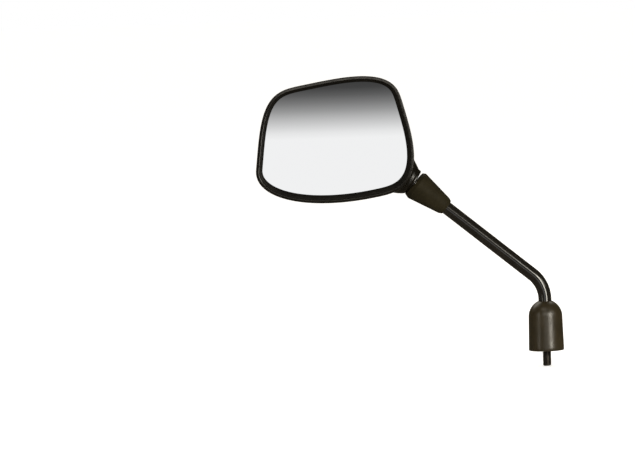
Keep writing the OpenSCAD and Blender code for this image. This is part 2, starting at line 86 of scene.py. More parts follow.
def new_object(name, verts, faces, sharp=30, material=None):
    """An object from points in millimetres, smooth except where faces turn by more than sharp degrees."""
    mesh = bpy.data.meshes.new(name)
    mesh.from_pydata([tuple(v) for v in np.asarray(verts) * MM], [], [tuple(f) for f in faces])
    bm = bmesh.new()
    bm.from_mesh(mesh)
    bmesh.ops.remove_doubles(bm, verts=bm.verts, dist=1e-6)
    bmesh.ops.recalc_face_normals(bm, faces=bm.faces)
    bm.to_mesh(mesh)
    bm.free()
    obj = bpy.data.objects.new(name, mesh)
    bpy.context.scene.collection.objects.link(obj)
    if material:
        mesh.materials.append(material)
    soften(obj, sharp)
    return obj


def soften(obj, sharp):
    """Smooth shading, except where faces turn by more than sharp degrees."""
    obj.data.shade_smooth()
    obj.data.set_sharp_from_angle(angle=math.radians(sharp))


def strips(rings, closed=True, cap_start=False, cap_end=False):
    """Quads between rings of equal length, each ring a closed loop."""
    verts = np.concatenate(rings)
    n = len(rings[0])
    faces = []
    for k in range(len(rings) - 1):
        for i in range(n if closed else n - 1):
            a, b = k * n + i, k * n + (i + 1) % n
            faces.append((a, b, b + n, a + n))
    if cap_start:
        faces.append(tuple(range(n - 1, -1, -1)))
    if cap_end:
        last = (len(rings) - 1) * n
        faces.append(tuple(last + i for i in range(n)))
    return verts, faces


def refine(profile, step):
    """A profile polyline with points added so that no segment is longer than step."""
    out = [profile[0]]
    for a, b in zip(profile[:-1], profile[1:]):
        a, b = np.array(a, float), np.array(b, float)
        n = max(1, int(math.ceil(np.linalg.norm(b - a) / step)))
        out += [tuple(a + (b - a) * k / n) for k in range(1, n + 1)]
    return out


def rounded(profile, radii, steps=5, closed=False):
    """A profile polyline with its inner corners rounded by the given radii."""
    pts = [np.array(p, float) for p in profile]
    out = []
    n = len(pts)
    for i, p in enumerate(pts):
        r = radii[i]
        if not r or (not closed and i in (0, n - 1)):
            out.append(tuple(p))
            continue
        a, b = pts[i - 1] - p, pts[(i + 1) % n] - p
        la, lb = np.linalg.norm(a), np.linalg.norm(b)
        a, b = a / la, b / lb
        half = math.acos(max(-1, min(1, float(a @ b)))) / 2
        if half > math.pi / 2 - 1e-3:
            out.append(tuple(p))
            continue
        t = min(r / math.tan(half), la * 0.49, lb * 0.49)
        r = t * math.tan(half)
        c = p + (a + b) / np.linalg.norm(a + b) * (r / math.sin(half))
        s, e = p + a * t - c, p + b * t - c
        turn = math.atan2(s[0] * e[1] - s[1] * e[0], float(s @ e))
        for k in range(steps + 1):
            w = turn * k / steps
            rot = np.array([[math.cos(w), -math.sin(w)], [math.sin(w), math.cos(w)]])
            out.append(tuple(c + rot @ s))
    return out


def turned(name, profile, place, segments=96, sharp=30, material=None, closed=True):
    """A solid of revolution from (radius, height) points round +Z of a placed frame."""
    ang = np.arange(segments) * 2 * math.pi / segments
    rings = [
        np.stack([r * np.cos(ang), r * np.sin(ang), np.full(segments, z)], 1) for r, z in profile
    ]
    if closed:
        rings.append(rings[0])
    verts, faces = strips(rings)
    return new_object(name, apply(place, verts), faces, sharp, material)


def boolean(obj, other, operation):
    """Combines obj with other, which is used up."""
    mod = obj.modifiers.new("b", "BOOLEAN")
    mod.object = other
    mod.operation = operation
    mod.solver = "MANIFOLD"
    dg = bpy.context.evaluated_depsgraph_get()
    mesh = bpy.data.meshes.new_from_object(obj.evaluated_get(dg))
    obj.modifiers.clear()
    old = obj.data
    obj.data = mesh
    bpy.data.meshes.remove(old)
    drop(other)


def drop(obj):
    """Removes an object that was only a tool, with its mesh."""
    mesh = obj.data
    bpy.data.objects.remove(obj)
    bpy.data.meshes.remove(mesh)


# The head's outline and back
TOP_W, LOW_W, HEAD_H, SHIFT = 121.0, 165.5, 114.6, 11.6
SQUARENESS = [3.15, 3.05, 2.0, 4.05]
TOUCHES = [0.34, 0.3, 0.3, 0.41]
SIDE_DEPTH = 9.0
SHELF_DEPTH = 8.0
RIM_W, LIP_W, GLASS_LIFT, GLASS_CURVE, GLASS_DEPTH = 3.0, 2.7, 1.0, 1400.0, 1.1
DRAFT = 0.6
CORNERS = np.array(
    [
        [-TOP_W / 2 + SHIFT, HEAD_H / 2],
        [TOP_W / 2 + SHIFT, HEAD_H / 2],
        [LOW_W / 2, -HEAD_H / 2],
        [-LOW_W / 2, -HEAD_H / 2],
    ]
)
COUNT = 384


def touch_point(i):
    """Where the outline touches side i of the four-sided figure round it."""
    a, b = CORNERS[i % 4], CORNERS[(i + 1) % 4]
    return a + (b - a) * TOUCHES[i % 4]


def make_outline(count):
    """The squared outline, clockwise from the front, at even steps, with its inward normals."""
    dense = []
    for i in range(4):
        a, b = touch_point(i), touch_point(i + 1)
        o = a + b - CORNERS[(i + 1) % 4]
        n = SQUARENESS[i]
        for t in np.radians(np.arange(0, 90, 0.25)):
            c, s = math.cos(t), math.sin(t)
            k = (c**n + s**n) ** (1 / n)
            dense.append(o + (a - o) * c / k + (b - o) * s / k)
    dense = np.array(dense + [dense[0]])
    run = np.concatenate([[0], np.cumsum(np.linalg.norm(np.diff(dense, axis=0), axis=1))])
    at = np.arange(count) * run[-1] / count
    p = np.stack([np.interp(at, run, dense[:, k]) for k in (0, 1)], 1)
    t = np.roll(p, -1, 0) - np.roll(p, 1, 0)
    normal = np.stack([t[:, 1], -t[:, 0]], 1) / np.linalg.norm(t, axis=1)[:, None]
    for _ in range(6):
        normal = (np.roll(normal, 1, 0) + 2 * normal + np.roll(normal, -1, 0)) / 4
    normal /= np.linalg.norm(normal, axis=1)[:, None]
    return p, normal


OUTLINE, INWARD = make_outline(COUNT)


def inset(d):
    """The outline moved inwards by d."""
    return OUTLINE + INWARD * d


def ring(d, depth, lift=0.0):
    """The outline moved inwards by d, at a depth behind the rim's front."""
    p = inset(d)
    depth = np.broadcast_to(depth, (COUNT,))
    return np.stack([p[:, 0], depth, p[:, 1] + lift], 1)


def smooth(x):
    """A soft step from 0 at x = 0 to 1 at x = 1."""
    t = np.clip(x, 0, 1)
    return t * t * (3 - 2 * t)


RIDGE_FAR, RIDGE_NEAR = 33.0, 40.0
RIDGE = np.array([[-40.0, -25.0], [40.0, -21.0], [58.0, -38.1]])
# How full the back's curve is: low down, higher up, and what the near side has on top
FULL_LOW, FULL_HIGH, FULL_EXTRA = 1.45, 2.5, 0.7


def back_ring(d, s, wall):
    """A ring of the back's surface, s of the way in from the side wall to the ridge."""
    p = inset(d)
    a, b, c = RIDGE
    level = (p[:, 0] - a[0]) / (b[0] - a[0])
    down = 1 + (p[:, 0] - b[0]) / (c[0] - b[0])
    near = 1 + smooth((0.05 * HEAD_H - p[:, 1]) / (0.36 * HEAD_H))
    k = np.maximum(0, np.minimum(np.where(level < 1, level, down), near))
    lo = np.minimum(k, 1)[:, None]
    hi = np.maximum(k - 1, 0)[:, None]
    r = a + (b - a) * lo + (c - b) * hi
    depth = RIDGE_FAR + (RIDGE_NEAR - RIDGE_FAR) * np.minimum(1, k)
    high = FULL_HIGH + FULL_EXTRA * smooth((p[:, 0] - 0.3 * LOW_W) / 20)
    full = FULL_LOW + (high - FULL_LOW) * smooth((p[:, 1] + 0.44 * HEAD_H) / (0.34 * HEAD_H))
    q = p + (r - p) * s
    v = SIDE_DEPTH + (depth - wall - SIDE_DEPTH) * (1 - (1 - s) ** full) ** (1 / full)
    return np.stack([q[:, 0], v, q[:, 1]], 1)


def domed(points, depth):
    """Depth behind the rim's front of a face that is domed like the glass."""
    return depth + (points[:, 0] ** 2 + points[:, 1] ** 2) / (2 * GLASS_CURVE)


# Materials: each is built of nodes, with sizes in metres through the object's own coordinates
class Paint:
    """A small helper round one material's node tree."""

    def __init__(self, name, **values):
        self.mat = bpy.data.materials.new(name)
        self.mat.use_nodes = True
        self.tree = self.mat.node_tree
        self.shader = self.tree.nodes["Principled BSDF"]
        for key, value in values.items():
            self.shader.inputs[key.replace("_", " ")].default_value = value
        self.place = self.node("ShaderNodeTexCoord").outputs["Object"]
        self.bumps = None

    def node(self, kind, **values):
        n = self.tree.nodes.new(kind)
        for key, value in values.items():
            setattr(n, key, value)
        return n

    def link(self, a, b):
        self.tree.links.new(a, b)

    def noise(self, size, detail=4.0, rough=0.55, stretch=None, seed=0.0):
        """Noise with features of about size millimetres; the output runs about 0.3 to 0.7."""
        m = self.node("ShaderNodeMapping")
        m.inputs["Location"].default_value = (seed * 0.37, seed * 0.11, seed * 0.23)
        if stretch:
            m.inputs["Scale"].default_value = stretch
        self.link(self.place, m.inputs["Vector"])
        n = self.node("ShaderNodeTexNoise")
        n.inputs["Scale"].default_value = 1 / (size * MM)
        n.inputs["Detail"].default_value = detail
        n.inputs["Roughness"].default_value = rough
        self.link(m.outputs["Vector"], n.inputs["Vector"])
        return n.outputs["Fac"]

    def grains(self, size):
        """Small cells of about size millimetres, as on a spark-eroded mould."""
        n = self.node("ShaderNodeTexVoronoi", feature="SMOOTH_F1")
        n.inputs["Scale"].default_value = 1 / (size * MM)
        self.link(self.place, n.inputs["Vector"])
        return n.outputs["Distance"]

    def attribute(self, name):
        n = self.node("ShaderNodeAttribute", attribute_name=name)
        return n.outputs["Fac"]

    def spread(self, value, low, high, to_low=0.0, to_high=1.0):
        n = self.node("ShaderNodeMapRange", clamp=True)
        for key, v in (("From Min", low), ("From Max", high), ("To Min", to_low), ("To Max", to_high)):
            n.inputs[key].default_value = v
        self.link(value, n.inputs["Value"])
        return n.outputs["Result"]

    def math(self, operation, a, b):
        n = self.node("ShaderNodeMath", operation=operation)
        for socket, v in zip(n.inputs, (a, b)):
            if isinstance(v, (int, float)):
                socket.default_value = v
            else:
                self.link(v, socket)
        return n.outputs["Value"]

    def blend(self, factor, a, b):
        """Colour a where factor is 0, colour b where it is 1."""
        n = self.node("ShaderNodeMix", data_type="RGBA")
        sockets = [s for s in n.inputs if s.enabled]
        for socket, v in zip(sockets, (factor, a, b)):
            if isinstance(v, tuple):
                socket.default_value = (*v, 1)
            elif isinstance(v, (int, float)):
                socket.default_value = v
            else:
                self.link(v, socket)
        return [o for o in n.outputs if o.enabled][0]

    def color(self, value):
        self.link(value, self.shader.inputs["Base Color"])

    def roughness(self, value):
        self.link(value, self.shader.inputs["Roughness"])

    def bump(self, height, depth, strength=1.0):
        """Raises the surface by height times depth millimetres."""
        n = self.node("ShaderNodeBump")
        n.inputs["Distance"].default_value = depth * MM
        n.inputs["Strength"].default_value = strength
        self.link(height, n.inputs["Height"])
        if self.bumps:
            self.link(self.bumps, n.inputs["Normal"])
        self.bumps = n.outputs["Normal"]
        self.link(self.bumps, self.shader.inputs["Normal"])


def moulded(name, dark, light, rough, grain=0.35, depth=0.02, wear=None, shine=0.4):
    """Moulded plastic or rubber with a fine grain, cloudy sheen and paler worn edges."""
    p = Paint(name, Specular_IOR_Level=shine)
    cloud = p.spread(p.noise(14, 3), 0.35, 0.65)
    fine = p.noise(grain * 3, 5, 0.6, seed=1)
    base = p.blend(cloud, dark, light)
    if wear:
        patches = p.attribute("edge"), p.spread(p.noise(2.5, 5, 0.7, seed=2), 0.38, 0.62)
        worn = p.math("MULTIPLY", *patches)
        base = p.blend(worn, base, wear)
    dull = p.spread(p.noise(6, 5, 0.6, seed=3), 0.3, 0.7, rough - 0.06, rough + 0.08)
    if wear:
        dull = p.math("SUBTRACT", dull, p.math("MULTIPLY", worn, 0.1))
    p.roughness(dull)
    p.color(base)
    p.bump(p.grains(grain), depth, 0.6)
    p.bump(fine, depth * 1.5, 0.5)
    return p


def metal(name, dark, light, rough, brush=(1, 1, 14), spots=None):
    """Plated or blackened steel, with fine drawn lines and a cloudy film."""
    p = Paint(name, Metallic=1.0)
    film = p.spread(p.noise(5, 5, 0.65, seed=4), 0.35, 0.65)
    base = p.blend(film, dark, light)
    if spots:
        speck = p.spread(p.noise(0.9, 6, 0.75, seed=5), 0.6, 0.68)
        base = p.blend(speck, base, spots)
    p.color(base)
    lines = p.noise(0.6, 3, 0.7, stretch=brush, seed=6)
    p.roughness(p.spread(lines, 0.3, 0.7, rough - 0.08, rough + 0.1))
    p.bump(lines, 0.006, 0.5)
    return p


SHELL = moulded(
    "shell_plastic",
    dark=(0.0042, 0.0034, 0.0021),
    light=(0.0062, 0.005, 0.0031),
    rough=0.25,
    grain=0.32,
    depth=0.004,
    wear=(0.011, 0.0092, 0.0066),
).mat
GASKET = moulded(
    "gasket_rubber",
    dark=(0.0035, 0.003, 0.0022),
    light=(0.0054, 0.0046, 0.0034),
    rough=0.45,
    grain=0.25,
    depth=0.004,
    wear=(0.008, 0.007, 0.0055),
    shine=0.1,
).mat
BOOT = moulded(
    "boot_rubber",
    dark=(0.0145, 0.0118, 0.0054),
    light=(0.02, 0.0163, 0.0077),
    rough=0.55,
    grain=0.3,
    depth=0.016,
    wear=(0.045, 0.038, 0.028),
    shine=0.06,
).mat
COVER = moulded(
    "cover_rubber",
    dark=(0.0205, 0.0148, 0.0054),
    light=(0.0285, 0.0206, 0.0078),
    rough=0.33,
    grain=0.28,
    depth=0.008,
    wear=(0.06, 0.05, 0.04),
    shine=0.75,
).mat
PLATE = moulded("plate_plastic", (0.03, 0.03, 0.03), (0.05, 0.05, 0.05), 0.5).mat
FOAM = moulded("foam", (0.05, 0.05, 0.055), (0.09, 0.09, 0.095), 0.85, 0.5, 0.12).mat
NYLON = moulded("nylon", (0.62, 0.6, 0.52), (0.7, 0.68, 0.6), 0.4).mat
BRIGHT = metal("steel_bright", (0.5, 0.5, 0.51), (0.62, 0.62, 0.63), 0.3, spots=(0.3, 0.27, 0.22)).mat
DARK = metal("steel_dark", (0.1, 0.092, 0.08), (0.17, 0.157, 0.137), 0.32, spots=(0.2, 0.15, 0.1)).mat


def stem_paint():
    """Gloss black paint with a slight orange peel and a few dull patches."""
    p = Paint("stem_black", Coat_Weight=0.5, Coat_Roughness=0.06)
    p.color(p.blend(p.spread(p.noise(9, 4), 0.35, 0.65), (0.007, 0.006, 0.0048), (0.011, 0.0095, 0.0075)))
    p.roughness(p.spread(p.noise(4, 6, 0.65, seed=7), 0.3, 0.7, 0.1, 0.2))
    p.bump(p.noise(1.6, 2, 0.5, seed=8), 0.012, 0.5)
    p.bump(p.noise(0.25, 3, 0.6, seed=9), 0.002, 0.5)
    return p.mat


def mirror_paint():
    """Silvered glass: a bright face with a faint haze, and a dark ground edge."""
    p = Paint("mirror_glass", Metallic=1.0)
    edge = p.spread(p.attribute("edge"), 0.4, 0.6)
    p.color(p.blend(edge, (0.93, 0.935, 0.94), (0.08, 0.1, 0.095)))
    haze = p.spread(p.noise(22, 5, 0.6, seed=10), 0.45, 0.75, 0.012, 0.03)
    p.roughness(p.math("ADD", haze, p.math("MULTIPLY", edge, 0.4)))
    p.bump(p.noise(60, 1, 0.4, seed=11), 0.0012, 0.3)
    return p.mat


STEM = stem_paint()
GLASS = mirror_paint()


def mark_edges(obj, band, low=8, high=40):
    """Stores in the attribute edge how sharply the surface turns outwards within band millimetres."""
    mesh = obj.data
    bm = bmesh.new()
    bm.from_mesh(mesh)
    bm.normal_update()
    value = np.zeros(len(bm.verts))
    for e in bm.edges:
        if len(e.link_faces) == 2:
            turn = math.degrees(e.calc_face_angle_signed(0.0))
            length = sum(f.calc_area() for f in e.link_faces) / max(e.calc_length(), 1e-9) / MM
            bend = turn * min(1.0, band / max(length, 1e-3))
            for v in e.verts:
                value[v.index] = max(value[v.index], bend)
    bm.free()
    value = np.clip((value - low) / (high - low), 0, 1)
    a = mesh.attributes.new("edge", "FLOAT", "POINT")
    a.data.foreach_set("value", value.astype(np.float32))


# The housing: a skin over the head's back, with the neck growing out of it
def rounded_rim():
    """(inset, depth) points of the rim, from its inner edge over its crest to the side wall."""
    return rounded(
        [
            (RIM_W, 4.0), (RIM_W, 0.17), (2.5, 0.0), (0.5, 0.3), (0.16, 0.85), (0.14, 2.6),
            (DRAFT * 0.35, SIDE_DEPTH * 0.5), (DRAFT, SIDE_DEPTH),
        ],
        [0, 0.1, 1.4, 0.5, 0.6, 0, 0, 0],
        6,
    )


def skin(rings_in, name):
    """A closed body from rings, with its last ring filled flat."""
    verts, faces = strips(rings_in, cap_start=True)
    last = (len(rings_in) - 1) * COUNT
    obj = new_object(name, apply(AT_RIM, verts), faces)
    bm = bmesh.new()
    bm.from_mesh(obj.data)
    open_edges = [e for e in bm.edges if e.is_boundary]
    bmesh.ops.triangle_fill(bm, edges=open_edges, use_beauty=True, use_dissolve=False)
    bmesh.ops.recalc_face_normals(bm, faces=bm.faces)
    bm.to_mesh(obj.data)
    bm.free()
    return obj


def steps_in(count, last=0.985, power=2.1):
    """Shares of the way from the side wall to the ridge, close together near the wall."""
    return [last * (k / count) ** power for k in range(1, count + 1)]


BACK_RINGS = 40
outer_rings = [ring(d, v) for d, v in rounded_rim()[2:]]
outer_rings += [back_ring(DRAFT, s, 0) for s in steps_in(BACK_RINGS)]
shell = skin([ring(RIM_W, 0.55)] + outer_rings, "housing_shell")

# The neck: height of its mouth over the ball, half width, half depth, offset and flare
NECK_REACH, NECK_HALF, NECK_DEEP, NECK_SHIFT = 10.8, 13.2, 13.0, 1.6
NECK_FLARE = math.tan(math.radians(25))
BACK_LIMIT = RIDGE_NEAR - RIM_TO_BALL - 0.5
SWING = math.radians(20)


def neck_rings():
    """Rings of the neck from the middle of its raised lip inwards, as in the solids but with soft corners."""
    h, w, d, f = NECK_REACH, NECK_HALF, NECK_DEEP, NECK_FLARE
    # Each row: height on the axis, shift, half width, half depth at the back and in front
    keys = [
        (h + 1.5, 0.0, 4.0, 4.0, 4.0), (h + 1.5, 0.3, 11.3, 11.3, 11.3), (h, 0.9, w - 0.7, d - 1.4, d - 1.4),
        (h - 1.4, NECK_SHIFT, w, d, d), (h / 2, NECK_SHIFT, w + f * h / 2, d + 1.5, d + 0.2),
        (0, NECK_SHIFT, w + f * h, BACK_LIMIT - 1, d + 0.4), (-h, NECK_SHIFT, w + f * h + 1, BACK_LIMIT, d),
        (-1.5 * h, NECK_SHIFT, w, BACK_LIMIT - 1, d - 1),
    ]
    rows = np.array(refine(keys, 0.45))
    for _ in range(3):
        rows[1:-1] = (rows[:-2] + 2 * rows[1:-1] + rows[2:]) / 4
    ang = -np.arange(160) * 2 * math.pi / 160
    u = np.sign(np.cos(ang)) * np.abs(np.cos(ang)) ** (2 / 2.2)
    v = np.sign(np.sin(ang)) * np.abs(np.sin(ang)) ** (2 / 2.2)
    return [
        np.stack([shift + wide * u, np.where(v > 0, back, front) * v, np.full(160, z)], 1)
        for z, shift, wide, back, front in rows
    ]


neck_verts, neck_faces = strips(neck_rings(), cap_start=True, cap_end=True)
neck = new_object("neck", apply(ALONG_NECK, neck_verts), neck_faces)


def surface(obj):
    """A search tree of an object's triangles."""
    bm = bmesh.new()
    bm.from_mesh(obj.data)
    bmesh.ops.triangulate(bm, faces=bm.faces)
    tree = BVHTree.FromBMesh(bm)
    bm.free()
    return tree


def swell_towards(obj, tree, reach, share=1.0, keep=None):
    """Moves the surface outwards near another one, so that the two meet in a soft fillet."""
    mesh = obj.data
    n = len(mesh.vertices)
    co = np.empty(n * 3)
    mesh.vertices.foreach_get("co", co)
    co = co.reshape(-1, 3)
    normals = np.empty(n * 3)
    mesh.vertices.foreach_get("normal", normals)
    normals = normals.reshape(-1, 3)
    for i in range(n):
        hit = tree.find_nearest(Vector(co[i]), reach * MM)
        if hit[0] is None:
            continue
        gap = hit[3] / MM
        corner = min(1.0, max(0.0, 1 - hit[1].dot(Vector(normals[i]))))
        h = share * corner * (reach - gap) ** 2 / (4 * reach)
        if keep is not None:
            h *= keep(co[i] / MM)
        co[i] += normals[i] * h * MM
    mesh.vertices.foreach_set("co", co.ravel())
    mesh.update()


to_neck = np.array(ALONG_NECK.inverted())
to_rim = np.array(AT_RIM.inverted())


def neck_height(p):
    """Height of a point along the neck's axis, 0 at the ball."""
    return float(to_neck[2, :3] @ p + to_neck[2, 3])


def rim_depth(p):
    """Depth of a point behind the rim's front."""
    return float(to_rim[1, :3] @ p + to_rim[1, 3])


def below_back(p):
    """Fades to 0 near the housing's greatest depth."""
    return float(smooth((RIDGE_NEAR - rim_depth(p)) / 7))


def off_the_rim(p):
    """Fades to 0 near the rim and near the housing's greatest depth."""
    return float(smooth((rim_depth(p) - 3) / 9) * below_back(p))


def off_the_mouth(p):
    """Fades to 0 near the neck's mouth and near the housing's greatest depth."""
    return float(smooth((6.5 - neck_height(p)) / 5) * below_back(p))


shell_tree, neck_tree = surface(shell), surface(neck)
FILLET = 9.0
swell_towards(shell, neck_tree, FILLET, keep=off_the_rim)
swell_towards(neck, shell_tree, FILLET, keep=off_the_mouth)
seam_a, seam_b = surface(shell), surface(neck)
boolean(shell, neck, "UNION")


def smooth_seam(obj, trees, width, rounds):
    """Relaxes the vertices near the line where two surfaces met."""
    bm = bmesh.new()
    bm.from_mesh(obj.data)
    near = []
    for v in bm.verts:
        if all(t.find_nearest(v.co, width * MM)[0] is not None for t in trees):
            near.append(v)
    axes = {"use_axis_x": True, "use_axis_y": True, "use_axis_z": True}
    for _ in range(rounds):
        bmesh.ops.smooth_vert(bm, verts=near, factor=0.5, **axes)
    bm.to_mesh(obj.data)
    bm.free()


smooth_seam(shell, (seam_a, seam_b), 1.6, 12)

# Hollow behind the glass, with the socket and the posts standing in it
WALL = 2.5
SHELF = RIM_W + 1.4
bay_rings = [
    ring(RIM_W, -1.0),
    ring(RIM_W, SHELF_DEPTH),
    ring(SHELF, SHELF_DEPTH + 0.01),
    ring(SHELF, SIDE_DEPTH + 0.5),
]
bay_rings += [back_ring(SHELF, s, WALL) for s in steps_in(14, 0.97, 1.8)]
hollow = skin(bay_rings, "hollow")
# The ball joint from the ball outwards, then the stack of cup, spring, washer and clamp nut
BALL_R, FIT, LINER_WALL, CUP_WALL, SEAT_GAP, SOCKET_WALL = 9.0, 0.05, 1.4, 0.6, 0.1, 3
CUP_FLOOR, SPRING_T, SPRING_RISE, THRUST_T, CLAMP_H = 2.2, 1, 0.7, 1.2, 4.5
SOCKET_R = BALL_R + FIT + LINER_WALL + FIT
BORE_R = SOCKET_R + CUP_WALL + SEAT_GAP
CLAMP_TOP = SOCKET_R + CUP_FLOOR + SPRING_T + SPRING_RISE + THRUST_T + CLAMP_H
SOCKET_OUT_R, SOCKET_FRONT = BORE_R + SOCKET_WALL, 6
socket = turned(
    "socket",
    [(0, -CLAMP_TOP), (SOCKET_OUT_R, -CLAMP_TOP), (SOCKET_OUT_R, SOCKET_FRONT), (0, SOCKET_FRONT)],
    ALONG_NECK,
    96,
    closed=False,
)
boolean(hollow, socket, "DIFFERENCE")
GLASS_T, PAD_T, PLATE_T = 2, 1, 2
PLATE_BACK = GLASS_DEPTH + GLASS_T + PAD_T + PLATE_T + SEAT_GAP
POST_R, POST_END = 3.6, 41
POSTS = [
    (-0.35 * TOP_W, 0.28 * HEAD_H),
    (0.41 * TOP_W, 0.28 * HEAD_H),
    (-0.32 * LOW_W, -0.19 * HEAD_H),
    (0.085 * LOW_W, -0.365 * HEAD_H),
]
for x, z in POSTS:
    start = PLATE_BACK + (x * x + (z - GLASS_LIFT) ** 2) / (2 * GLASS_CURVE)
    post = turned(
        "post",
        [(0, start), (3.1, start), (POST_R, start + 0.5), (POST_R, POST_END), (0, POST_END)],
        AT_RIM @ Matrix.Translation((x, 0, z)) @ Matrix.Rotation(math.radians(-90), 4, "X"),
        40,
        closed=False,
    )
    boolean(hollow, post, "DIFFERENCE")
boolean(shell, hollow, "DIFFERENCE")

# Room for the ball, its liners and the shank, open at the neck's mouth
SHANK_R = 5
far = NECK_REACH + 4
cone_r, cone_slope = SHANK_R / math.cos(SWING) + 0.3, math.tan(SWING)
square = 1 + cone_slope**2
meet = (math.sqrt(SOCKET_R**2 * square - cone_r**2) - cone_r * cone_slope) / square
ball_room = [
    (SOCKET_R * math.sin(a), SOCKET_R * math.cos(a))
    for a in np.linspace(math.pi / 2, math.acos(meet / SOCKET_R), 12)
]
cone_end = (cone_r + far * cone_slope, far)
room_profile = [(0, -CLAMP_TOP - 1), (BORE_R, -CLAMP_TOP - 1), (BORE_R, 0)] + ball_room + [cone_end, (0, far)]
room = turned("room", room_profile, ALONG_NECK, 128, closed=False)
boolean(shell, room, "DIFFERENCE")
shell.data.materials.clear()
shell.data.materials.append(SHELL)
soften(shell, 32)
mark_edges(shell, 1.5)
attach(shell, "head")
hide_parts("housing")


# The rubber lip round the glass
def swept(name, profile, place, material, lifts=None, sharp=35):
    """A closed section of (inset, depth) points swept round the head's outline."""
    lifts = lifts or [0.0] * len(profile)
    rings = []
    for (d, v), lift in zip(profile, lifts):
        r = ring(d, 0, lift)
        if callable(v):
            r[:, 1] = v(r[:, [0, 2]])
        else:
            r[:, 1] = v
        rings.append(r)
    rings.append(rings[0])
    verts, faces = strips(rings)
    return new_object(name, apply(place, verts), faces, sharp, material)


def dome_at(depth):
    """A depth that follows the glass's dome, for a profile point of swept()."""

    def over(p):
        return domed(p - np.array([0, GLASS_LIFT]), depth)

    return over


lip_in = RIM_W + LIP_W + 0.7
lip_section = [
    (RIM_W + 0.1, 7.9, 0), (RIM_W + 0.1, 0.5, 0), (RIM_W + 0.22, 0.3, 0), (RIM_W + 0.5, 0.32, 0.1),
    (RIM_W + 0.9, 0.45, 0.25), (RIM_W + 1.5, 0.6, 0.5), (RIM_W + 2.2, 1.0, 0.8), (RIM_W + 2.8, 1.45, 1.05),
    (RIM_W + 3.25, 1.95, 1.2),
    (lip_in, dome_at(GLASS_DEPTH - 0.12), 1.2), (lip_in - 0.05, dome_at(GLASS_DEPTH), 1.0),
    (lip_in - 1.3, dome_at(GLASS_DEPTH), 1.0), (lip_in - 1.3, 7.9, 1.0),
]
lip = swept(
    "glass_gasket",
    [(d, v) for d, v, _ in lip_section],
    AT_RIM,
    GASKET,
    [w for _, _, w in lip_section],
)
mark_edges(lip, 1.0)
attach(lip, "head")
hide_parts("gasket")


# The convex glass
def layer(name, d, front, back, material, rings_in=26, edge=0.25):
    """A plate within the outline inset by d, between two domed faces, with small edge bevels."""
    rings = []
    centre = np.array([0.0, GLASS_LIFT])
    p = inset(d) + np.array([0, GLASS_LIFT])

    def at(share, extra, depth):
        q = centre + (p - centre) * share
        q = q + INWARD * extra
        return np.stack([q[:, 0], domed(q - centre, depth), q[:, 1]], 1)

    shares = [k / rings_in for k in range(1, rings_in)]
    for s in shares:
        rings.append(at(s, 0, front))
    rings.append(at(1, edge * 1.2, front))
    rings.append(at(1, edge, front))
    rings.append(at(1, 0, front + edge))
    rings.append(at(1, 0, back - edge))
    rings.append(at(1, edge, back))
    for s in shares[::-1]:
        rings.append(at(s, 0, back))
    verts, faces = strips(rings)
    n = len(verts)
    verts = np.vstack([verts, [[0, front, GLASS_LIFT], [0, back, GLASS_LIFT]]])
    last = (len(rings) - 1) * COUNT
    for i in range(COUNT):
        j = (i + 1) % COUNT
        faces.append((i, j, n))
        faces.append((last + j, last + i, n + 1))
    return new_object(name, apply(AT_RIM, verts), faces, 30, material)


LIP_COVER = 1.2
glass = layer("mirror_glass", lip_in - LIP_COVER, GLASS_DEPTH, GLASS_DEPTH + GLASS_T, GLASS)
# Its sides and back are marked as edge, its front is not
values = np.zeros(len(glass.data.vertices), np.float32)
for i, v in enumerate(glass.data.vertices):
    q = to_rim[:3, :3] @ (np.array(v.co) / MM) + to_rim[:3, 3]
    front = GLASS_DEPTH + (q[0] ** 2 + (q[2] - GLASS_LIFT) ** 2) / (2 * GLASS_CURVE)
    values[i] = 1.0 if q[1] > front + 0.1 else 0.0
edge_mark = glass.data.attributes.new("edge", "FLOAT", "POINT")
edge_mark.data.foreach_set("value", values)
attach(glass, "head")
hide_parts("glass")

# The boot over the stem's upper end
BOOT_MOUTH_R, BOOT_LIP_R, BOOT_STEM_R, BOOT_WALL = 13.9, 12.2, 8.5, 2.2
BOOT_END, BOOT_REACH, BOOT_GRIP = 50.0, 17.6, 20
BOOT_SAG = math.radians(1.5)
GRIP_R = STEM_R + FIT
lip_z = math.sqrt(BOOT_REACH**2 - BOOT_LIP_R**2)
brow_z = lip_z + 3.7
skirt_in = BOOT_LIP_R - BOOT_WALL
boot_outline = rounded(
    [
        (GRIP_R, BOOT_END - BOOT_GRIP),
        (skirt_in, brow_z),
        (skirt_in, math.sqrt(BOOT_REACH**2 - skirt_in**2)),
        (BOOT_LIP_R, lip_z),
        (BOOT_MOUTH_R, brow_z),
        (BOOT_STEM_R, BOOT_END - 3),
        (BOOT_STEM_R - 1.5, BOOT_END),
        (GRIP_R, BOOT_END),
    ],
    [0, 0.8, 0.25, 0.35, 0.9, 1.2, 0.5, 0.2],
    5,
    closed=False,
)
pivot_z = BOOT_END - BOOT_GRIP / 2
boot_pivot = Matrix.Translation((0, 0, pivot_z))
boot_place = ALONG_STEM @ boot_pivot @ Matrix.Rotation(-BOOT_SAG, 4, "Y") @ boot_pivot.inverted()
boot = turned("stem_boot", refine(boot_outline, 1.2), Matrix.Identity(4), 128, 32, BOOT)
ball_shift = pivot_z * math.sin(BOOT_SAG)
for v in boot.data.vertices:
    x, y, z = v.co / MM
    share = min(1.0, max(0.0, (brow_z - z) / (brow_z - lip_z)))
    round_ball = math.sqrt(BOOT_REACH**2 - (x + ball_shift) ** 2 - y * y)
    round_axis = math.sqrt(BOOT_REACH**2 - x * x - y * y)
    v.co = boot_place @ Vector((x, y, z + share * (round_ball - round_axis))) * MM
mark_edges(boot, 1.2)
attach(boot, "stem")
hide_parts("boot")

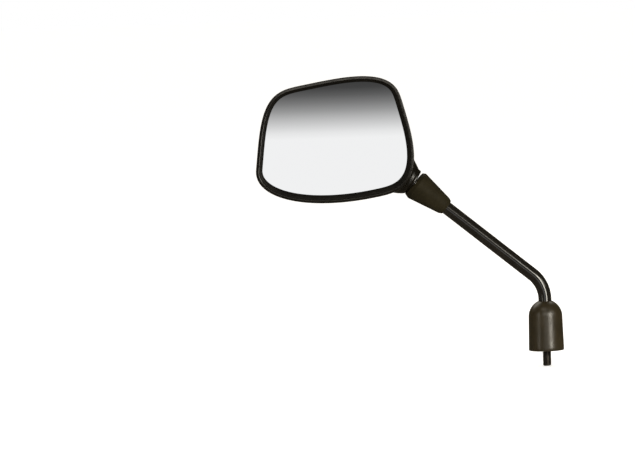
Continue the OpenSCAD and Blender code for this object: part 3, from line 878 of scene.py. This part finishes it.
# The bell-shaped cover over the nuts
TOP_R, LOW_R, SHOULDER, COVER_WALL, COVER_GRIP = 15.5, 16.2, 31.5, 2.2, 5
dome_end = math.asin(GRIP_R / TOP_R)
dome = [
    (TOP_R * math.sin(a), SHOULDER + TOP_R * math.cos(a))
    for a in np.linspace(math.pi / 2, dome_end + 0.02, 26)
]
dome_top = SHOULDER + TOP_R * math.cos(dome_end)
inner_top = dome_top - COVER_GRIP
inner_low = LOW_R - COVER_WALL
inner_bell = TOP_R - COVER_WALL
bell_profile = (
    [(inner_low, 0.5), (inner_low + 0.3, 0.3), (LOW_R - 0.6, 0.3), (LOW_R - 0.2, 0.5), (LOW_R, 0.9)]
    + refine([(LOW_R, 0.9), (TOP_R + 0.02, SHOULDER - 1)], 3)[1:]
    + dome
    + [
        (GRIP_R + 0.1, dome_top - 0.1),
        (GRIP_R, dome_top - 0.4),
        (GRIP_R, inner_top),
        (inner_bell * 0.62, inner_top),
        (inner_bell * 0.9, SHOULDER + 3),
        (inner_bell, SHOULDER - 4),
    ]
)
bell = turned("nut_cover_bell", bell_profile, Matrix.Identity(4), 144, 32, COVER)
mark_edges(bell, 1.2)
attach(bell, "stem")
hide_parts("nut_cover")


# The bent stem, with a thinner threaded end below
SHANK_RUN = 21.0
THREAD_R, THREAD_TOP = 5.0, 32.2


def bent_stem():
    """Rings along the rod from its upper end down to the thread's tip."""
    tangent = BEND_R * math.tan(math.radians((90 - STEM_RISE) / 2))
    down = Vector((math.cos(math.radians(STEM_RISE)), 0, -math.sin(math.radians(STEM_RISE))))
    stations = []
    top = BALL + down * SHANK_RUN

    def add(centre, along, r):
        stations.append((Vector(centre), Vector(along).normalized(), r))

    for t, r in ((0.0, STEM_R - 0.6), (0.15, STEM_R - 0.35), (0.6, STEM_R)):
        add(top + down * t, down, r)
    length = STEM_RUN - tangent - SHANK_RUN
    for k in range(1, 25):
        add(top + down * (0.6 + (length - 0.6) * k / 24), down, STEM_R)
    turn = math.radians(90 - STEM_RISE)
    centre = Vector((-BEND_R, 0, BEND_Z - tangent))
    for k in range(1, 33):
        a = turn * (1 - k / 32)
        out = Vector((math.cos(a), 0, math.sin(a)))
        add(centre + out * BEND_R, Vector((math.sin(a), 0, -math.cos(a))), STEM_R - 0.01)
    low = BEND_Z - tangent
    for z in np.linspace(low, 32.8, 8)[1:]:
        add((0, 0, z), (0, 0, -1), STEM_R)
    add((0, 0, THREAD_TOP), (0, 0, -1), STEM_R - 0.5)
    add((0, 0, THREAD_TOP), (0, 0, -1), THREAD_R)
    for z in np.linspace(THREAD_TOP, 6, 12)[1:]:
        add((0, 0, z), (0, 0, -1), THREAD_R)
    add((0, 0, 5), (0, 0, -1), THREAD_R - 1)
    segments = 72
    ang = np.arange(segments) * 2 * math.pi / segments
    rings = []
    for c, t, r in stations:
        side = Vector((0, 1, 0))
        up = side.cross(t).normalized()
        rings.append(np.array([c + side * (r * math.cos(w)) + up * (r * math.sin(w)) for w in ang]))
    verts, faces = strips(rings, cap_start=True, cap_end=True)
    return new_object("bent_stem", verts, faces, 30, STEM)


stem = bent_stem()
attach(stem, "stem")
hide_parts("stem")


# The hex adapter with its threaded stud
HEX_FLATS, ADAPTER_H, TURNED_H = 17.0, 18.0, 1.2
STUD_R, STUD_PITCH, STUD_LEN = 4.0, 1.25, 14.0


def hex_body(flats, low, high, bottom_turn, top_turn):
    """A hex blank whose corners are turned off at both ends, as rings from low to high."""
    n = 240
    ang = np.arange(n) * 2 * math.pi / n
    hexagon = (flats / 2) / np.cos((ang + math.pi / 6) % (math.pi / 3) - math.pi / 6)
    corner = flats / 2 / math.cos(math.pi / 6)
    slope = math.tan(math.radians(30))
    rings = []
    for z in np.concatenate([np.linspace(low, low + TURNED_H, 7), np.linspace(high - TURNED_H, high, 7)]):
        cone = corner + 1
        if z - low < TURNED_H:
            cone = flats / 2 * bottom_turn + (z - low) / slope
        if high - z < TURNED_H:
            cone = min(cone, flats / 2 * top_turn + (high - z) / slope)
        r = np.minimum(hexagon, cone)
        rings.append(np.stack([r * np.cos(ang), r * np.sin(ang), np.full(n, z)], 1))
    return rings


def thread(radius, pitch, low, high, chamfer=1.0, segments=64, per_pitch=10):
    """Rings of a screw thread's surface from high down to low, with a chamfered end at low."""
    ang = np.arange(segments) * 2 * math.pi / segments
    depth = 0.6134 * pitch
    rows = []
    k0 = int(math.floor((low - pitch * 2) / pitch * per_pitch))
    k1 = int(math.ceil((high + pitch) / pitch * per_pitch))
    for k in range(k1, k0, -1):
        z = k * pitch / per_pitch + pitch * ang / (2 * math.pi)
        z = np.clip(z, low, high)
        phase = (z / pitch - ang / (2 * math.pi)) % 1.0
        tooth = np.clip(np.abs(phase - 0.5) * 2 * 1.35 - 0.12, 0, 1)
        tooth = tooth * tooth * (3 - 2 * tooth) * 0.35 + tooth * 0.65
        r = radius - depth * (1 - tooth)
        r = np.minimum(r, radius - chamfer + (z - low))
        rows.append(np.stack([r * np.cos(ang), r * np.sin(ang), z], 1))
    return rows


def adapter_piece():
    """The hex blank with its blind bore, and the stud below it."""
    body = hex_body(HEX_FLATS, 0.0, ADAPTER_H, 0.94, 0.94)
    n = len(body[0])
    ang = np.arange(n) * 2 * math.pi / n
    circle = np.stack([np.cos(ang), np.sin(ang), np.zeros(n)], 1)
    bore = [(5.6, ADAPTER_H), (THREAD_R + FIT, 17.4), (THREAD_R + FIT, 4.0), (0.01, 4.0)]
    rings = body + [circle * r + [0, 0, z] for r, z in bore]
    start = [circle * 3.2 + [0, 0, 0.0]]
    verts, faces = strips(start + rings, cap_start=True, cap_end=True)
    hexagon = new_object("adapter_stud", verts, faces, 30, DARK)
    rows = thread(STUD_R, STUD_PITCH, -STUD_LEN, 0.2)
    v2, f2 = strips(rows, cap_start=True, cap_end=True)
    stud = new_object("stud", v2, f2, 40, DARK)
    bm = bmesh.new()
    bm.from_mesh(hexagon.data)
    bm.from_mesh(stud.data)
    bm.to_mesh(hexagon.data)
    bm.free()
    drop(stud)
    soften(hexagon, 32)
    return hexagon


adapter = adapter_piece()
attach(adapter, "base")
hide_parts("adapter")

# Carried-over solids get the same finishes
finishes = {
    "spring_washer": BRIGHT,
    "lock_nut": BRIGHT,
    "ball_stud": BRIGHT,
    "cross_pin": BRIGHT,
    "ring_liner": NYLON,
    "cap_liner": NYLON,
    "pressure_cup": NYLON,
    "disc_spring": BRIGHT,
    "thrust_washer": BRIGHT,
    "clamp_nut": DARK,
    "backing_plate": PLATE,
    "plate_screws": BRIGHT,
    "foam_pad": FOAM,
}
for name, mat in finishes.items():
    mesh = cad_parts[name].data
    if not mesh.materials:
        mesh.materials.append(mat)
    for i in range(len(mesh.materials)):
        mesh.materials[i] = mat

# Floor, light and camera
scene = bpy.context.scene
FLOOR_GLOW = 0.52


def floor():
    """A wide pale disc under the stud's tip. The camera sees its far part as plain white."""
    z = cad_bounds[0][2] / MM - 0.5
    rings = []
    n = 96
    ang = np.arange(n) * 2 * math.pi / n
    for r in (0.5, 300, 900, 2500, 7000):
        rings.append(np.stack([-140 + r * np.cos(ang), r * np.sin(ang), np.full(n, z)], 1))
    verts, faces = strips(rings, cap_start=True)
    mat = bpy.data.materials.new("pale_floor")
    mat.use_nodes = True
    tree = mat.node_tree
    shader = tree.nodes["Principled BSDF"]
    shader.inputs["Base Color"].default_value = (0.9, 0.9, 0.9, 1)
    shader.inputs["Roughness"].default_value = 0.9
    shader.inputs["Specular IOR Level"].default_value = 0.1
    glow = tree.nodes.new("ShaderNodeEmission")
    glow.inputs["Color"].default_value = (1, 1, 1, 1)
    path = tree.nodes.new("ShaderNodeLightPath")
    seen = tree.nodes.new("ShaderNodeMath")
    seen.operation = "MULTIPLY"
    seen.inputs[1].default_value = FLOOR_GLOW
    tree.links.new(path.outputs["Is Camera Ray"], seen.inputs[0])
    tree.links.new(seen.outputs[0], glow.inputs["Strength"])
    both = tree.nodes.new("ShaderNodeAddShader")
    tree.links.new(shader.outputs[0], both.inputs[0])
    tree.links.new(glow.outputs[0], both.inputs[1])
    tree.links.new(both.outputs[0], tree.nodes["Material Output"].inputs["Surface"])
    obj = new_object("floor", verts, faces, 30, mat)
    obj.visible_glossy = False


floor()


# The window in front that reflections see: height of the ray against brightness
RAMP_SPAN = 0.1
WORLD_STOPS = [
    (-0.058, 0.871), (-0.0488, 0.783), (-0.0385, 0.624), (-0.0279, 0.468), (-0.0173, 0.309),
    (-0.0063, 0.191), (0.0044, 0.107), (0.0152, 0.0545), (0.04, 0.03),
]
# The window fades out between these sideways, lower and backward parts of the ray
WINDOW_SIDE, WINDOW_LOW, WINDOW_AHEAD = (0.16, 0.2), (-0.21, -0.17), (-0.6, -0.5)
# The dim room that reflections see elsewhere, and the share of light that the mirror gives back
ROOM_LOW, ROOM_HIGH = (0.105, 0.09, 0.066), (0.026, 0.022, 0.015)
MIRROR_SHARE = 0.93


def studio_world():
    """White to the camera, soft light to surfaces.

    Reflections see a pale table ahead that fades to a dark room above it, and a dim room elsewhere.
    """
    world = bpy.data.worlds.new("studio")
    scene.world = world
    world.use_nodes = True
    tree = world.node_tree
    tree.nodes.clear()
    out = tree.nodes.new("ShaderNodeOutputWorld")

    def node(kind, **values):
        n = tree.nodes.new(kind)
        for key, v in values.items():
            setattr(n, key, v)
        return n

    def background(color, strength):
        n = node("ShaderNodeBackground")
        n.inputs["Color"].default_value = (*color, 1)
        n.inputs["Strength"].default_value = strength
        return n.outputs[0]

    def spread(value, low, high, to_low=0.0, to_high=1.0):
        n = node("ShaderNodeMapRange", clamp=True)
        for key, v in (("From Min", low), ("From Max", high), ("To Min", to_low), ("To Max", to_high)):
            n.inputs[key].default_value = v
        tree.links.new(value, n.inputs["Value"])
        return n.outputs["Result"]

    def mix(factor, a, b):
        n = node("ShaderNodeMixShader")
        tree.links.new(factor, n.inputs[0])
        tree.links.new(a, n.inputs[1])
        tree.links.new(b, n.inputs[2])
        return n.outputs[0]

    where = node("ShaderNodeTexCoord").outputs["Generated"]
    split = node("ShaderNodeSeparateXYZ")
    tree.links.new(where, split.inputs[0])
    ramp = node("ShaderNodeValToRGB")
    tree.links.new(spread(split.outputs["Z"], -RAMP_SPAN, RAMP_SPAN), ramp.inputs["Fac"])
    stops = ramp.color_ramp
    stops.interpolation = "LINEAR"
    table = [((z + RAMP_SPAN) / (2 * RAMP_SPAN), v / MIRROR_SHARE) for z, v in WORLD_STOPS]
    while len(stops.elements) < len(table):
        stops.elements.new(0.5)
    for e, (at, v) in zip(stops.elements, table):
        e.position = at
        e.color = (v, v, v, 1)
    side = node("ShaderNodeMath", operation="ABSOLUTE")
    tree.links.new(split.outputs["X"], side.inputs[0])
    window = node("ShaderNodeMath", operation="MULTIPLY")
    tree.links.new(spread(side.outputs[0], *WINDOW_SIDE, 1, 0), window.inputs[0])
    tree.links.new(spread(split.outputs["Z"], *WINDOW_LOW), window.inputs[1])
    ahead_only = node("ShaderNodeMath", operation="MULTIPLY")
    tree.links.new(window.outputs[0], ahead_only.inputs[0])
    tree.links.new(spread(split.outputs["Y"], *WINDOW_AHEAD, 1, 0), ahead_only.inputs[1])

    def mix_colors(factor, low, high):
        n = node("ShaderNodeMix", data_type="RGBA")
        sockets = [k for k in n.inputs if k.enabled]
        tree.links.new(factor, sockets[0])
        for k, v in zip(sockets[1:], (low, high)):
            if isinstance(v, tuple):
                k.default_value = (*v, 1)
            else:
                tree.links.new(v, k)
        return [k for k in n.outputs if k.enabled][0]

    room = mix_colors(spread(split.outputs["Z"], -0.5, 0.35), ROOM_LOW, ROOM_HIGH)
    reflect = node("ShaderNodeBackground")
    tree.links.new(mix_colors(ahead_only.outputs[0], room, ramp.outputs["Color"]), reflect.inputs["Color"])
    path = node("ShaderNodeLightPath")
    soft = background((1, 0.96, 0.88), 0.62)
    seen = background((1, 1, 1), 1.0)
    inner = mix(path.outputs["Is Glossy Ray"], soft, reflect.outputs[0])
    outer = mix(path.outputs["Is Camera Ray"], inner, seen)
    tree.links.new(outer, out.inputs["Surface"])


studio_world()


def softbox(name, azimuth, elevation, distance, width, height, radiance, aim=(-0.14, 0, 0.12)):
    """A rectangular lamp of a given radiance, aimed at the object. Azimuth 0 is the camera's side."""
    a, e = math.radians(azimuth), math.radians(elevation)
    target = Vector(aim)
    way = Vector((math.sin(a) * math.cos(e), -math.cos(a) * math.cos(e), math.sin(e)))
    light = bpy.data.lights.new(name, "AREA")
    light.shape = "RECTANGLE"
    light.size, light.size_y = width, height
    light.energy = radiance * math.pi * width * height
    light.color = (1.0, 0.95, 0.84)
    obj = bpy.data.objects.new(name, light)
    scene.collection.objects.link(obj)
    obj.location = target + way * distance
    obj.rotation_euler = (-way).to_track_quat("-Z", "Y").to_euler()


softbox("key_box", 36, 4, 1.6, 0.42, 0.9, 12.0)
softbox("bend_box", 44, 17, 1.6, 1.2, 0.36, 2.2)
softbox("side_strip", -47, 5, 1.6, 0.15, 1.1, 4.0)
softbox("front_box", 1, 16, 1.7, 0.8, 0.36, 3.0)
softbox("top_box", -8, 52, 1.7, 0.9, 0.4, 1.4)
softbox("back_left_box", -146, 42, 1.8, 1.2, 0.9, 1.7)
softbox("back_right_box", 156, 46, 1.8, 1.0, 0.8, 1.5)

# Camera: a long lens at the photograph's angle, with the part at its place in a 635 by 467 frame
WIDE, HIGH, PER_PIXEL = 635, 467, 0.92
ELEVATION, ROLL = math.radians(4.4), math.radians(2.0)
ORIGIN_AT = (546.6, 350.3)
right = Vector((1, 0, 0))
ahead = Vector((0, math.cos(ELEVATION), -math.sin(ELEVATION)))
up = right.cross(ahead)
r = right * math.cos(ROLL) - up * math.sin(ROLL)
u = right * math.sin(ROLL) + up * math.cos(ROLL)
camera_data = bpy.data.cameras.new("camera")
camera_data.lens = 400
camera_data.sensor_width = 36
distance = WIDE * PER_PIXEL * camera_data.lens / camera_data.sensor_width
target = r * ((WIDE / 2 - ORIGIN_AT[0]) * PER_PIXEL) + u * ((ORIGIN_AT[1] - HIGH / 2) * PER_PIXEL)
camera = bpy.data.objects.new("camera", camera_data)
turn = Matrix((r, u, -ahead)).transposed().to_4x4()
camera.matrix_world = Matrix.Translation((target - ahead * distance) * MM) @ turn
camera_data.clip_end = 60
scene.collection.objects.link(camera)
scene.camera = camera
scene.view_settings.view_transform = "Standard"
